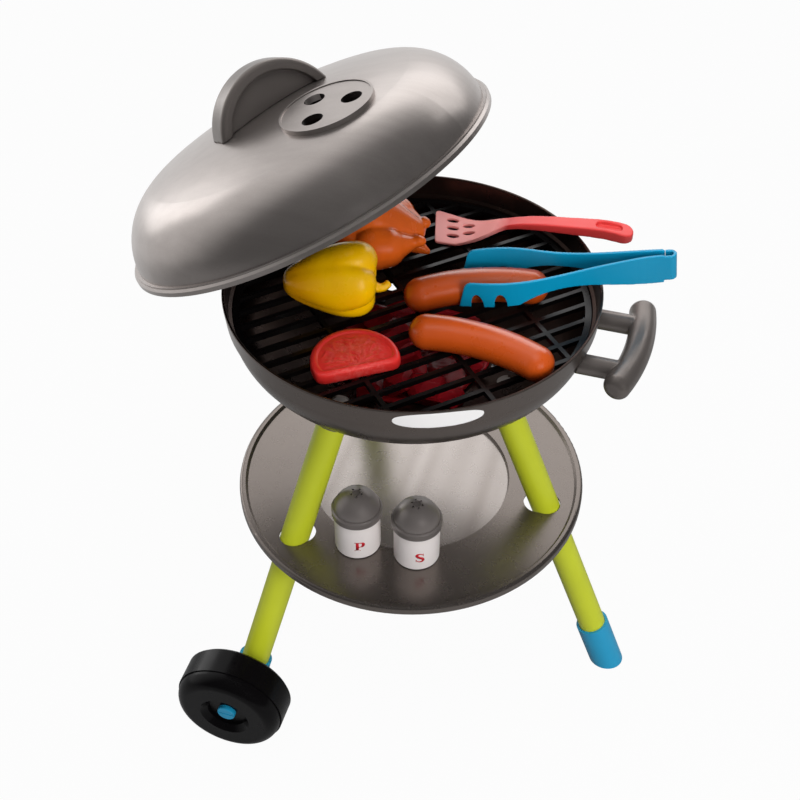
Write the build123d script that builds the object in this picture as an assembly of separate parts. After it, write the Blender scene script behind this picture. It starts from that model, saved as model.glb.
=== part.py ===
from build123d import *
import math
import os

# Toy barbecue grill: a kettle grill on three tilted legs, with two wheels, a shelf,
# a lifted lid, a grate, embers, play food, tongs, a spatula and two shakers.
# Millimetres and degrees. The origin is on the floor under the bowl's axis, +Z is up,
# and +X points to the side handle and the leg that has a foot.

# Driving sizes of the whole grill
bowl_diameter = 360.0
lip_height = 506.0
leg_diameter = 30.0
leg_tilt = 21.1
wheel_leg_turn = 127.6
tray_diameter = 372.0
wheel_diameter = 120.0

# Shared clearances and the length that cuts run past their walls
face_gap = 0.3
slide_gap = 0.35
overrun = 5.0

# Bowl
bowl_wall = 3.0
rim_wall_height = 20.0
rim_draft = 2.0
rim_step = 3.0
rim_step_height = 2.0
belly_depth = 80.0
belly_shoulder = 50.0
lip_round = 1.2
vent_radius = 8.0
vent_ring_radius = 102.0
vent_turns = (-12.0, -114.6, 118.6)

# Legs and the sockets under the bowl
leg_reach_at_lip = 45.5
leg_wall = 2.0
leg_top_drop = 105.0
socket_wall = 4.0
socket_depth = 26.0

# Screws
screw_radius = 1.9
screw_pilot_gap = 0.1
screw_hole_radius = 2.2
screw_head_radius = 4.5
screw_head_height = 2.2
screw_length = 12.0
screw_slot_width = 1.2
screw_slot_depth = 1.0

# Foot
foot_wall = 3.0
foot_top_height = 58.0
foot_floor = 6.0

# Wheels, their fittings and axle pins
wheel_width = 47.0
wheel_inner_face = 194.0
wheel_shoulder = 13.0
wheel_tread_width = 31.0
wheel_seam = 1.4
wheel_back_round = 3.0
wheel_hub_recess_radius = 22.0
wheel_hub_recess_depth = 9.0
wheel_hub_round = 6.0
wheel_back_recess_depth = 7.0
wheel_back_recess_radius = 46.0
wheel_back_hub_radius = 17.0
axle_setback = 138.0
axle_radius = 5.0
axle_running_gap = 0.08
axle_grip_length = 30.0
axle_head_radius = 10.0
axle_head_height = 5.0
axle_head_round = 1.2
axle_slit_width = 1.6
axle_slit_depth = 3.5
fitting_wall = 3.0
fitting_top_height = 76.0
fitting_spigot_length = 28.0
fitting_end_drop = 14.0
fitting_boss_radius = 12.0
wheel_side_gap = 0.5
leg_end_rise = 6.6

# Shelf tray
tray_top = 240.0
tray_wall = 2.5
tray_rim_width = 9.0
tray_rim_rise = 3.5
tray_rim_slope = 2.5
tray_edge_round = 3.5
tray_skirt = 5.0
dish_radius = 107.0
dish_drop = 4.0
dish_slope = 1.5
slot_side_gap = 0.6
slot_inner_radius = 126.0

# Side handle
grip_diameter = 25.6
grip_reach = 38.0
grip_drop = 32.0
grip_half_span = 63.0
grip_end_round = 8.0
grip_skew = -3.0
post_diameter = 19.5
post_offset = 34.0
handle_screw_drop = 37.5

# Grate
grate_drop = 24.0
grate_height = 6.0
grate_ring_width = 6.0
grate_bar_width = 4.4
grate_bar_height = 5.0
grate_pitch = 20.0
grate_turn = 44.0
cross_bar_spacing = 89.0

# Embers: a thin plate with faceted lumps; places are shares of the bed's radius
ember_bed_radius = 93.0
ember_plate = 3.0
ember_notch_gap = 1.5
ember_size = 19.0
ember_height = 24.0
ember_taper = 24.0
ember_sides = 6
ember_shares = (
    (-0.22, 0.25, 1.15, 10.0),
    (0.42, 0.44, 1.00, 33.0),
    (0.20, -0.60, 1.25, 5.0),
    (0.52, -0.62, 0.95, 48.0),
    (-0.42, -0.02, 1.05, 25.0),
    (-0.14, -0.30, 0.90, 52.0),
    (0.16, 0.02, 1.00, 18.0),
    (0.62, 0.02, 0.90, 40.0),
    (0.50, -0.28, 0.85, 8.0),
    (-0.40, -0.42, 0.95, 30.0),
    (-0.14, -0.74, 0.80, 15.0),
    (-0.60, 0.30, 0.80, 44.0),
    (0.06, 0.62, 0.90, 22.0),
)

# Lid, drawn level in its own frame and then tilted: its local +X is the raised side
lid_center_x = -105.0
lid_center_y = 17.7
lid_rise = 79.6
lid_tilt = 28.8
lid_turn = -8.7
lid_flange_radius = 184.0
lid_flange_height = 6.0
lid_flange_chamfer = 2.0
lid_dome_radius = 179.0
lid_dome_height = 79.5
lid_shoulder = 64.0
lid_wall = 3.0
lid_rebate_gap = 0.8
lid_rebate_depth = 2.5
lid_bead_width = 2.4
lid_bead_height = 1.2

# Lid handle
lid_handle_radius = 61.0
lid_handle_width = 30.0
lid_handle_base_drop = 21.5
lid_handle_turn = 60.0
lid_handle_round = 5.0
lid_handle_recess = 6.0
lid_handle_rim = 5.0
lid_screw_offset = 26.0
lid_screw_length = 14.0

# Vent plate on the lid
vent_plate_offset = 86.8
vent_plate_turn = -18.8
vent_plate_radius = 43.0
vent_plate_rise = 1.6
vent_plate_rim = 2.0
vent_plate_rim_rise = 0.8
vent_plate_hole_radius = 9.6
vent_plate_hole_ring = 23.0
vent_plate_hole_turn = 45.0

# Shakers
shaker_radius = 23.5
shaker_height = 75.0
shaker_body_height = 47.0
shaker_wall = 2.0
shaker_neck_inset = 2.4
shaker_neck_height = 6.0
shaker_base_round = 2.0
cap_skirt_radius = 25.8
cap_skirt_height = 8.0
cap_skirt_chamfer = 1.6
cap_dome_radius = 23.2
cap_shoulder = 12.0
cap_dish_radius = 4.0
cap_dish_depth = 1.5
shaker_hole_radius = 1.1
shaker_hole_ring = 5.5
pepper_place = (-25.0, -108.4)
salt_place = (37.0, -105.0)

# Play food
sausage_radius = 16.6
sausage_half_chord = 52.7
sausage_bow = 8.5
rear_sausage_place = (60.0, 11.3)
rear_sausage_turn = 23.3
front_sausage_place = (83.7, -66.6)
front_sausage_turn = -7.3
tomato_radius = 40.8
tomato_chord = 16.1
tomato_thickness = 13.0
tomato_round = 3.0
tomato_corner = 6.0
tomato_skin_corner = 3.0
tomato_place = (-21.8, -107.0)
tomato_turn = 34.3
tomato_rim = 7.0
tomato_relief = 1.2
pepper_food_length = 86.0
pepper_food_place = (-70.0, -36.0)
pepper_food_turn = 19.0
pepper_lobe_radius = 24.0
pepper_lobe_offset = 17.0
pepper_lobe_tip_radius = 12.5
pepper_lobes = 4
pepper_lobe_turn = 45.0
pepper_stem_radius = 4.6
pepper_stem_foot_radius = 7.0
pepper_stem_length = 12.0
pepper_stem_sink = 12.0
pepper_stem_drop = 11.0
pepper_stem_end_radius = 3.4
chicken_place = (-50.0, 69.4)
chicken_turn = 6.0
chicken_length = 92.0
chicken_body_radius = 33.0
chicken_back_radius = 16.0
chicken_back_slope = 12.0
thigh_length = 54.0
thigh_radius = 23.0
thigh_tip_radius = 17.0
thigh_behind = 21.0
thigh_side = 29.0
thigh_turn = 11.0
shank_radius = 8.0
shank_end_radius = 5.5
knuckle_radius = 5.8
knuckle_ahead = 41.0
knuckle_side = 16.0
knuckle_rise = 27.0
wing_length = 42.0
wing_radius = 10.5
wing_tip_radius = 8.0
wing_behind = 44.0
wing_side = 30.0
wing_turn = -12.0
chicken_tail_radius = 6.5
chicken_tail_ahead = 43.0
chicken_tail_side = 6.0
chicken_tail_rise = 9.0

# Spatula: its side view is a bent strip, cut to the outline seen from above
spatula_place = (-11.0, 121.0)
spatula_turn = 0.0
blade_thickness = 2.6
blade_width = 54.0
blade_length = 28.0
blade_slant = 14.0
blade_corner = 3.5
neck_width = 15.0
neck_start = 74.0
neck_end = 84.0
spatula_length = 200.0
spatula_handle_width = 21.0
spatula_bend_start = 20.0
spatula_station_shares = (0.365, 0.55, 0.72, 0.88, 1.0)
spatula_top_shares = (0.56, 0.82, 0.93, 1.0, 0.90)
spatula_bottom_shares = (0.42, 0.60, 0.665, 0.71, 0.68)
spatula_rise = 38.0
spatula_grip_start = 146.0
spatula_end_round_share = 0.9
spatula_grip_share = 0.85
blade_back_share = 0.80
blade_front_share = 0.97
spatula_end_slope = 0.4
blade_slot_length = 12.5
blade_slot_width = 6.2
blade_slot_pitch = 13.0
blade_slot_row = 17.0
blade_slot_start = 18.5
thumb_recess_length = 26.0
thumb_recess_width = 11.0
thumb_recess_depth = 2.0
thumb_recess_back = 24.0

# Tongs, drawn level with the bend at the origin and the tips along +X, then placed
tongs_tip_place = (42.8, 21.1)
tongs_tip_rise = 9.9
tongs_turn = 191.4
tongs_pitch = 8.1
tongs_length = 196.0
tongs_strip = 3.0
tongs_height = 26.5
tongs_neck_height = 15.0
tongs_bend_radius = 4.5
tongs_neck_drop_share = 0.7
tongs_side_shares = (0.2526, 0.5474, 0.6947)
tongs_top_shares = (0.98, 0.94)
tongs_bottom_shares = (0.15, 0.7)
tongs_end_flare = 0.12
tongs_station_shares = (0.21, 0.37, 0.55, 0.74, 0.87, 1.0)
tongs_spread = {1: 31.3, -1: 23.2}
tongs_spread_shares = (0.26, 0.42, 0.70, 1.0, 1.0, 0.88)
tongs_tooth_gap = 12.0
tongs_tooth_pitch = 22.0
tongs_tooth_depths = {1: 14.0, -1: 5.0}
tongs_tip_slant = 8.0
tongs_first_tooth_share = 0.7684
tongs_tip_round = 8.0
tongs_hinge_back = 6.0

# Values that follow from the ones above
bowl_radius = bowl_diameter / 2
belly_radius = bowl_radius - rim_draft - rim_step
belly_top = lip_height - rim_wall_height - rim_step_height
leg_radius = leg_diameter / 2
leg_turns = {"foot": 0.0, "left": wheel_leg_turn, "right": -wheel_leg_turn}
wheel_radius = wheel_diameter / 2
tray_radius = tray_diameter / 2
grip_arch_radius = bowl_radius + grip_reach
grate_top = lip_height - grate_drop
socket_radius = leg_radius + face_gap + socket_wall
leg_top = lip_height - leg_top_drop


def turned(turn):
    """A turn about the grill's upright axis."""
    return Rot(0, 0, turn)


def leg_reach(height):
    """Distance of a leg's axis from the grill's axis at a height."""
    return leg_reach_at_lip + (lip_height - height) * math.tan(math.radians(leg_tilt))


def leg_frame(turn, height):
    """Frame on a leg's axis: its Z runs up the leg and its X points outward."""
    return turned(turn) * Pos(leg_reach(height), 0, height) * Rot(0, -leg_tilt, 0)


def along_leg(low, high):
    """Length of leg between two heights."""
    return (high - low) / math.cos(math.radians(leg_tilt))


def rod(radius, length):
    """A round bar that stands on its frame's XY plane."""
    return Cylinder(radius, length, align=(Align.CENTER, Align.CENTER, Align.MIN))


def block(length, width, height):
    """A box that stands on its frame's XY plane."""
    return Box(length, width, height, align=(Align.CENTER, Align.CENTER, Align.MIN))


def spun(outline):
    """Revolve a face drawn in radius and height about the Z axis."""
    return revolve(Plane.XZ * outline, Axis.Z)


def ring_edges(shape, radius, height):
    """The round edges of a turned piece at a radius and a height."""
    close = face_gap / 10
    rings = shape.edges().filter_by(GeomType.CIRCLE)
    return rings.filter_by(lambda e: abs(e.radius - radius) < close and abs(e.center().Z - height) < close)


def bar_between(start, end, start_radius, end_radius):
    """A tapered round bar with its ends on two points."""
    line = Vector(*end) - Vector(*start)
    frame = Plane(origin=start, z_dir=line)
    return frame * Cone(start_radius, end_radius, line.length, align=(Align.CENTER, Align.CENTER, Align.MIN))


def pear(length, blunt, tip):
    """A pear shape along X from the tip to the blunt end: two balls and the cone that touches both."""
    lean = math.degrees(math.asin((blunt - tip) / (length - blunt - tip)))
    small = CenterArc((tip, 0), tip, 90 + lean, 90 - lean)
    big = CenterArc((length - blunt, 0), blunt, 0, 90 + lean)
    outline = small + Line(small @ 1, big @ 0) + big + Line(big @ 1, small @ 0)
    return revolve(Plane.XZ * make_face(outline), Axis.X)


class Dome:
    """A shallow dome drawn with two tangent arcs: a wide crown and a tight shoulder."""

    def __init__(self, radius, height, shoulder):
        self.radius = radius
        self.height = height
        self.shoulder = shoulder
        self.crown = (radius**2 + height**2 - 2 * radius * shoulder) / (2 * (height - shoulder))
        self.lean = math.asin((radius - shoulder) / (self.crown - shoulder))

    def form(self, inset):
        """The dome as a solid on the XY plane, or a smaller one inside it."""
        foot = self.radius - self.shoulder
        up = math.degrees(self.lean)
        side = CenterArc((foot, 0), self.shoulder - inset, 0, 90 - up)
        top = CenterArc((0, self.height - self.crown), self.crown - inset, 90 - up, up)
        return spun(make_face(side + top + Polyline(top @ 1, (0, 0), side @ 0)))

    def rise(self, radius, inset):
        """Height of the surface at a radius."""
        if radius < (self.crown - inset) * math.sin(self.lean):
            return self.height - self.crown + math.sqrt((self.crown - inset) ** 2 - radius**2)
        return math.sqrt((self.shoulder - inset) ** 2 - (radius - self.radius + self.shoulder) ** 2)

    def reach(self, height, inset):
        """Radius of the surface at a height."""
        if height < (self.shoulder - inset) * math.cos(self.lean):
            return self.radius - self.shoulder + math.sqrt((self.shoulder - inset) ** 2 - height**2)
        return math.sqrt((self.crown - inset) ** 2 - (height - self.height + self.crown) ** 2)

    def slope(self, radius, inset):
        """Slope of the crown at a radius, in degrees."""
        return math.degrees(math.asin(radius / (self.crown - inset)))


belly = Dome(belly_radius, belly_depth, belly_shoulder)
lid_dome = Dome(lid_dome_radius, lid_dome_height, lid_shoulder)
cap_dome = Dome(cap_dome_radius, shaker_height - shaker_body_height - cap_skirt_height, cap_shoulder)


def flared(low, high, height):
    """A round block on the XY plane that widens from one radius to another."""
    return Cone(low, high, height, align=(Align.CENTER, Align.CENTER, Align.MIN))


def bowl_form(inset):
    """The bowl's outer form, or a smaller one inside it, filled to the lip."""
    crease = bowl_radius - rim_draft - inset
    form = Pos(0, 0, belly_top) * Rot(180, 0, 0) * belly.form(inset)
    form += Pos(0, 0, belly_top) * flared(belly_radius - inset, crease, rim_step_height)
    wall = flared(crease, bowl_radius - inset, rim_wall_height)
    return form + Pos(0, 0, belly_top + rim_step_height) * wall


def belly_height(radius, inset):
    """Height of the bowl's surface at a radius."""
    return belly_top - belly.rise(radius, inset)


def belly_reach(height, inset):
    """Radius of the bowl's surface at a height."""
    return belly.reach(belly_top - height, inset)


def screw(length):
    """A screw that points down its frame's Z, with its head standing on the XY plane."""
    slot = block(screw_head_radius * 2 + overrun, screw_slot_width, screw_slot_depth + overrun)
    head = rod(screw_head_radius, screw_head_height) - Pos(0, 0, screw_head_height - screw_slot_depth) * slot
    return head + Pos(0, 0, -length) * rod(screw_radius, length)


def socket_screw_frame(turn):
    """Where a socket's screw stands inside the bowl, square to its wall."""
    radius = leg_reach(leg_top)
    seat = belly_height(radius, bowl_wall) + face_gap / 2
    return turned(turn) * Pos(radius, 0, seat) * Rot(0, -belly.slope(radius, bowl_wall), 0)


def handle_screw_frames():
    """Where the side handle's two screws stand inside the bowl."""
    height = lip_height - handle_screw_drop
    near = belly_reach(height - screw_head_radius, bowl_wall)
    frames = []
    for side in (-1, 1):
        edge = post_offset + screw_head_radius
        seat = math.sqrt(near**2 - edge**2) - face_gap
        frames.append(Pos(seat, side * post_offset, height) * Rot(0, -90, 0))
    return frames


def make_fire_bowl():
    """The bowl: an upright rim wall, a crease, and an oval belly with three vents."""
    bowl = bowl_form(0) - bowl_form(bowl_wall)
    lip = ring_edges(bowl, bowl_radius, lip_height) + ring_edges(bowl, bowl_radius - bowl_wall, lip_height)
    bowl = fillet(lip, lip_round)
    for turn in vent_turns:
        vent = rod(vent_radius, belly_depth)
        bowl -= turned(turn) * Pos(vent_ring_radius, 0, belly_top - belly_depth) * vent
    for turn in leg_turns.values():
        hole = Pos(0, 0, -bowl_wall * 3) * rod(screw_hole_radius, bowl_wall * 6)
        bowl -= socket_screw_frame(turn) * hole
    for frame in handle_screw_frames():
        bowl -= frame * Pos(0, 0, -bowl_wall * 5) * rod(screw_hole_radius, bowl_wall * 10)
    return bowl


def make_leg_socket(turn):
    """A cup under the bowl that takes the top of a leg."""
    low = leg_top - socket_depth
    frame = leg_frame(turn, low)
    cup = frame * rod(socket_radius, along_leg(low, leg_top + leg_diameter))
    cup -= frame * rod(leg_radius + face_gap, along_leg(low, leg_top) + face_gap)
    pilot = rod(screw_radius + screw_pilot_gap, screw_length * 3)
    cup -= socket_screw_frame(turn) * Pos(0, 0, -screw_length * 2) * pilot
    cup -= bowl_form(0)
    return cup


def make_leg(turn, bottom):
    """A straight plastic tube."""
    frame = leg_frame(turn, bottom)
    length = along_leg(bottom, leg_top)
    return frame * (rod(leg_radius, length) - rod(leg_radius - leg_wall, length))


def make_foot_cap():
    """The foot: a sleeve round the end of its leg, cut level where it stands."""
    radius = leg_radius + face_gap + foot_wall
    bottom = -leg_diameter
    sleeve = leg_frame(0, bottom) * rod(radius, along_leg(bottom, foot_top_height))
    sleeve -= leg_frame(0, foot_end_height()) * rod(leg_radius + face_gap, along_leg(0, foot_top_height))
    ground = Pos(leg_reach(0), 0, bottom * 2) * block(leg_diameter * 4, leg_diameter * 4, -bottom * 2)
    return sleeve - ground


def foot_end_height():
    """Height of the foot leg's lower end on its axis."""
    return foot_floor + leg_radius * math.sin(math.radians(leg_tilt))


def axle_frame(side):
    """Frame on a wheel's axle at the wheel's inner face: its Z points away from the grill."""
    return Pos(-axle_setback, side * wheel_inner_face, wheel_radius) * Rot(-90 * side, 0, 0)


def make_wheel(side):
    """A wheel: a tread, a seam, a rounded outer shoulder, and a recessed hub."""
    tread_radius = wheel_radius
    face = wheel_width
    shoulder = EllipticalCenterArc(
        (tread_radius - wheel_seam - wheel_shoulder, wheel_tread_width),
        wheel_shoulder,
        face - wheel_tread_width,
        start_angle=0,
        arc_size=90,
    )
    outline = Polyline(
        shoulder @ 1,
        (wheel_hub_recess_radius + wheel_hub_round, face),
        (wheel_hub_recess_radius, face - wheel_hub_round),
        (wheel_hub_recess_radius, face - wheel_hub_recess_depth),
        (axle_radius + axle_running_gap, face - wheel_hub_recess_depth),
        (axle_radius + axle_running_gap, 0),
        (wheel_back_hub_radius, 0),
        (wheel_back_hub_radius, wheel_back_recess_depth),
        (wheel_back_recess_radius, wheel_back_recess_depth),
        (wheel_back_recess_radius, 0),
        (tread_radius - wheel_back_round, 0),
        (tread_radius, wheel_back_round),
        (tread_radius, wheel_tread_width),
        shoulder @ 0,
    )
    return axle_frame(side) * spun(make_face(shoulder + outline))


def make_axle_pin(side):
    """The pin that holds a wheel: a slit head and a shank that grips the fitting."""
    seat = wheel_width - wheel_hub_recess_depth + face_gap
    head = rod(axle_head_radius, axle_head_height)
    head = fillet(ring_edges(head, axle_head_radius, axle_head_height), axle_head_round)
    slit = block(axle_head_radius * 3, axle_slit_width, axle_slit_depth + overrun)
    head -= Pos(0, 0, axle_head_height - axle_slit_depth) * slit
    shank_length = seat + axle_grip_length
    shank = Pos(0, 0, -shank_length) * rod(axle_radius, shank_length)
    return axle_frame(side) * Pos(0, 0, seat) * (head + shank)


def wheel_leg_end():
    """Height of a wheel leg's lower end on its axis, clear of the axle pin."""
    return wheel_radius + axle_radius + leg_end_rise


def make_wheel_fitting(side):
    """The sleeve at the end of a wheel leg, with the boss that carries the axle pin."""
    turn = side * wheel_leg_turn
    radius = leg_radius + face_gap + fitting_wall
    low = wheel_radius - fitting_end_drop
    body = leg_frame(turn, low) * rod(radius, along_leg(low, fitting_top_height))
    body = fillet(body.edges().group_by(Axis.Z)[0], foot_wall)
    boss_length = wheel_inner_face - leg_reach(wheel_radius) * math.sin(math.radians(wheel_leg_turn))
    inward = Pos(0, 0, -boss_length)
    body += axle_frame(side) * inward * rod(fitting_boss_radius, boss_length - wheel_side_gap)
    leg_end = leg_frame(turn, wheel_leg_end())
    body -= leg_end * Pos(0, 0, -face_gap) * rod(leg_radius + face_gap, along_leg(low, fitting_top_height))
    spigot = rod(leg_radius - leg_wall - face_gap, fitting_spigot_length + face_gap)
    body += leg_end * Pos(0, 0, -face_gap) * spigot
    bore = rod(axle_radius, axle_grip_length + overrun)
    body -= axle_frame(side) * Pos(0, 0, -axle_grip_length - face_gap) * bore
    return body


def make_tray():
    """The shelf: a dished plate with a raised, rounded edge and a slot for each leg."""
    low = tray_top - dish_drop
    bottom = tray_top - tray_wall
    inner = tray_radius - tray_rim_width
    outline = Polyline(
        (0, low),
        (dish_radius - dish_slope, low),
        (dish_radius, tray_top),
        (inner, tray_top),
        (inner + tray_rim_slope, tray_top + tray_rim_rise),
        (tray_radius, tray_top + tray_rim_rise),
        (tray_radius, tray_top - tray_skirt),
        (tray_radius - tray_wall, tray_top - tray_skirt),
        (tray_radius - tray_wall, bottom),
        (dish_radius + dish_slope, bottom),
        (dish_radius, low - tray_wall),
        (0, low - tray_wall),
        (0, low),
    )
    tray = spun(make_face(outline))
    tray = fillet(ring_edges(tray, tray_radius, tray_top + tray_rim_rise), tray_edge_round)
    half_width = leg_radius + slot_side_gap
    leg_half = leg_radius / math.cos(math.radians(leg_tilt))
    outer = leg_reach(bottom) + leg_half + face_gap
    middle = (slot_inner_radius + outer) / 2
    slot = extrude(SlotOverall(outer - slot_inner_radius, half_width * 2), tray_wall, both=True)
    for turn in leg_turns.values():
        tray -= turned(turn) * Pos(middle, 0, tray_top) * slot
    return tray


def make_side_handle():
    """The side handle: two posts on the bowl's wall and an arched round grip."""
    height = lip_height - grip_drop
    radius = grip_diameter / 2
    half_turn = math.degrees(math.asin(grip_half_span / grip_arch_radius))
    section = Plane.XZ * Pos(grip_arch_radius, height) * Circle(radius)
    grip = turned(-half_turn) * revolve(section, Axis.Z, 2 * half_turn)
    grip = fillet(grip.edges().filter_by(GeomType.CIRCLE), grip_end_round)
    grip = Pos(grip_arch_radius, 0, 0) * turned(grip_skew) * Pos(-grip_arch_radius, 0, 0) * grip
    for side in (-1, 1):
        reach = math.sqrt(grip_arch_radius**2 - post_offset**2)
        length = reach - belly_radius + bowl_radius / 2
        post = Rot(0, 90, 0) * rod(post_diameter / 2, length)
        post = Pos(reach - length, side * post_offset, height) * post
        grip += post
    grip -= bowl_form(0)
    for frame in handle_screw_frames():
        grip -= frame * Pos(0, 0, -screw_length * 2) * rod(screw_radius + screw_pilot_gap, screw_length * 2)
    return grip


def make_grate():
    """The grate: a ring, a row of thin bars and three cross bars, in one moulding."""
    bottom = grate_top - grate_height
    outer = belly_reach(bottom, bowl_wall) - face_gap
    inner = outer - grate_ring_width
    ring = Pos(0, 0, bottom) * (rod(outer, grate_height) - rod(inner, grate_height))
    grate = ring
    middle = inner + grate_ring_width / 2
    bar_bottom = grate_top - grate_bar_height
    count = int(middle / grate_pitch)
    bars = [i * grate_pitch for i in range(-count, count + 1)]
    for offset in bars:
        length = 2 * math.sqrt(middle**2 - offset**2)
        bar = block(length, grate_bar_width, grate_bar_height)
        grate += turned(grate_turn) * Pos(0, offset, bar_bottom) * bar
    for row in (-1, 0, 1):
        offset = row * cross_bar_spacing
        length = 2 * math.sqrt(middle**2 - offset**2)
        bar = block(grate_bar_width, length, grate_bar_height)
        grate += turned(grate_turn) * Pos(offset, 0, bar_bottom) * bar
    return grate


def make_embers():
    """The glowing coals: faceted lumps on a thin plate that lies in the bowl."""
    bottom = belly_height(ember_bed_radius, bowl_wall) + face_gap
    bed = Pos(0, 0, bottom) * rod(ember_bed_radius - face_gap, ember_plate)
    for x_share, y_share, size_share, turn in ember_shares:
        size = ember_size * size_share
        height = ember_height * size_share
        lump = extrude(RegularPolygon(size, ember_sides), height, taper=ember_taper)
        place = Pos(x_share * ember_bed_radius, y_share * ember_bed_radius, bottom + ember_plate / 2)
        bed += place * turned(turn) * lump
    for turn in leg_turns.values():
        bed -= socket_screw_frame(turn) * rod(screw_head_radius + ember_notch_gap, ember_height)
    return bed & bowl_form(bowl_wall + face_gap)


def lid_frame():
    """Frame of the lid: its XY plane is the rim, raised on the +X side."""
    place = Pos(lid_center_x, lid_center_y, lip_height + lid_rise)
    return place * turned(lid_turn) * Rot(0, -lid_tilt, 0)


def vent_plate_frame():
    """Frame on the dome's slope where the vent plate lies, in the lid's frame."""
    height = lid_dome.rise(vent_plate_offset, 0)
    tilt = Rot(0, lid_dome.slope(vent_plate_offset, 0), 0)
    return turned(vent_plate_turn) * Pos(vent_plate_offset, 0, height) * tilt


def vent_holes():
    """The three round holes through the vent plate and the dome."""
    holes = None
    for i in range(3):
        turn = vent_plate_hole_turn + i * 120
        drill = Pos(0, 0, -lid_wall * 4) * rod(vent_plate_hole_radius, lid_wall * 8)
        hole = turned(turn) * Pos(vent_plate_hole_ring, 0, 0) * drill
        holes = hole if holes is None else holes + hole
    return vent_plate_frame() * holes


def lid_screw_frames():
    """Where the lid handle's screws stand under the dome."""
    frames = []
    for side in (-1, 1):
        seat = lid_dome.rise(lid_screw_offset + screw_head_radius, lid_wall) - face_gap / 2
        frames.append(turned(lid_handle_turn) * Pos(side * lid_screw_offset, 0, seat) * Rot(180, 0, 0))
    return frames


def make_lid_dome():
    """The lid: a dome with a stepped flange that sits over the bowl's lip."""
    flange = rod(lid_flange_radius, lid_flange_height)
    flange = chamfer(ring_edges(flange, lid_flange_radius, lid_flange_height), lid_flange_chamfer)
    bead_radius = (lid_flange_radius + lid_dome_radius) / 2 - lid_bead_width / 2
    bead_foot = lid_flange_height / 2
    bead = rod(bead_radius + lid_bead_width / 2, lid_flange_height + lid_bead_height - bead_foot)
    lid = lid_dome.form(0) + flange + Pos(0, 0, bead_foot) * bead
    lid -= lid_dome.form(lid_wall)
    lid -= rod(bowl_radius + lid_rebate_gap, lid_rebate_depth)
    lid -= vent_holes()
    for frame in lid_screw_frames():
        lid -= frame * Pos(0, 0, -lid_wall * 3) * rod(screw_hole_radius, lid_wall * 6)
    return lid_frame() * lid


def make_vent_plate():
    """The round plate on the dome's slope, with a raised edge and three holes."""
    plate = rod(vent_plate_radius, vent_plate_radius / 2 + vent_plate_rise)
    plate = Pos(0, 0, -vent_plate_radius / 2) * plate
    edge = rod(vent_plate_radius, vent_plate_rim_rise)
    edge -= rod(vent_plate_radius - vent_plate_rim, vent_plate_rim_rise)
    plate += Pos(0, 0, vent_plate_rise) * edge
    plate = vent_plate_frame() * plate - lid_dome.form(0) - vent_holes()
    return lid_frame() * plate


def make_lid_handle():
    """The lid's handle: a thick half disc on the crown, recessed on both faces."""
    center = lid_dome_height - lid_handle_base_drop
    half = lid_handle_width / 2
    disc = Rot(90, 0, 0) * Cylinder(lid_handle_radius, lid_handle_width)
    disc = fillet(disc.edges().filter_by(GeomType.CIRCLE), lid_handle_round)
    pocket_radius = lid_handle_radius - lid_handle_round - lid_handle_rim
    for side in (-1, 1):
        pocket = Rot(90, 0, 0) * Cylinder(pocket_radius, lid_handle_recess)
        disc -= Pos(0, side * (half - lid_handle_recess / 2), 0) * pocket
    handle = turned(lid_handle_turn) * Pos(0, 0, center) * disc
    handle &= rod(lid_handle_radius * 2, lid_dome_height * 3)
    handle -= lid_dome.form(0)
    for frame in lid_screw_frames():
        pilot = rod(screw_radius + screw_pilot_gap, lid_screw_length * 2)
        handle -= frame * Pos(0, 0, -lid_screw_length * 2) * pilot
    return lid_frame() * handle


def make_lid_screws():
    """The two screws that hold the lid's handle."""
    return [lid_frame() * frame * screw(lid_screw_length) for frame in lid_screw_frames()]


def shaker_frame(place):
    """Where a shaker stands on the tray."""
    return Pos(place[0], place[1], tray_top + slide_gap)


def make_shaker_body(place):
    """A shaker's body: a round pot with a neck for its cap."""
    neck_radius = shaker_radius - shaker_neck_inset
    pot = rod(shaker_radius, shaker_body_height)
    pot = fillet(ring_edges(pot, shaker_radius, 0), shaker_base_round)
    pot += Pos(0, 0, shaker_body_height) * rod(neck_radius, shaker_neck_height)
    hollow = rod(neck_radius - shaker_wall, shaker_body_height + shaker_neck_height)
    return shaker_frame(place) * (pot - Pos(0, 0, shaker_wall) * hollow)


def cap_form(inset):
    """A cap's outer form, or a smaller one inside it."""
    dome = Pos(0, 0, cap_skirt_height) * cap_dome.form(inset)
    return rod(cap_dome_radius - inset, cap_skirt_height) + dome


def make_shaker_cap(place, hole_turns):
    """A shaker's cap: a skirt and a dome, with a dished top and small holes."""
    skirt = rod(cap_skirt_radius, cap_skirt_height)
    skirt = chamfer(ring_edges(skirt, cap_skirt_radius, cap_skirt_height), cap_skirt_chamfer)
    cap = skirt + cap_form(0) - cap_form(shaker_wall)
    top = shaker_height - shaker_body_height
    cap -= Pos(0, 0, top - cap_dish_depth) * rod(cap_dish_radius, overrun)
    for turn in hole_turns:
        cap -= turned(turn) * Pos(shaker_hole_ring, 0, top / 2) * rod(shaker_hole_radius, top)
    neck = rod(shaker_radius - shaker_neck_inset + face_gap, shaker_neck_height + face_gap)
    cap -= neck
    return shaker_frame(place) * Pos(0, 0, shaker_body_height + face_gap) * cap


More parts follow.
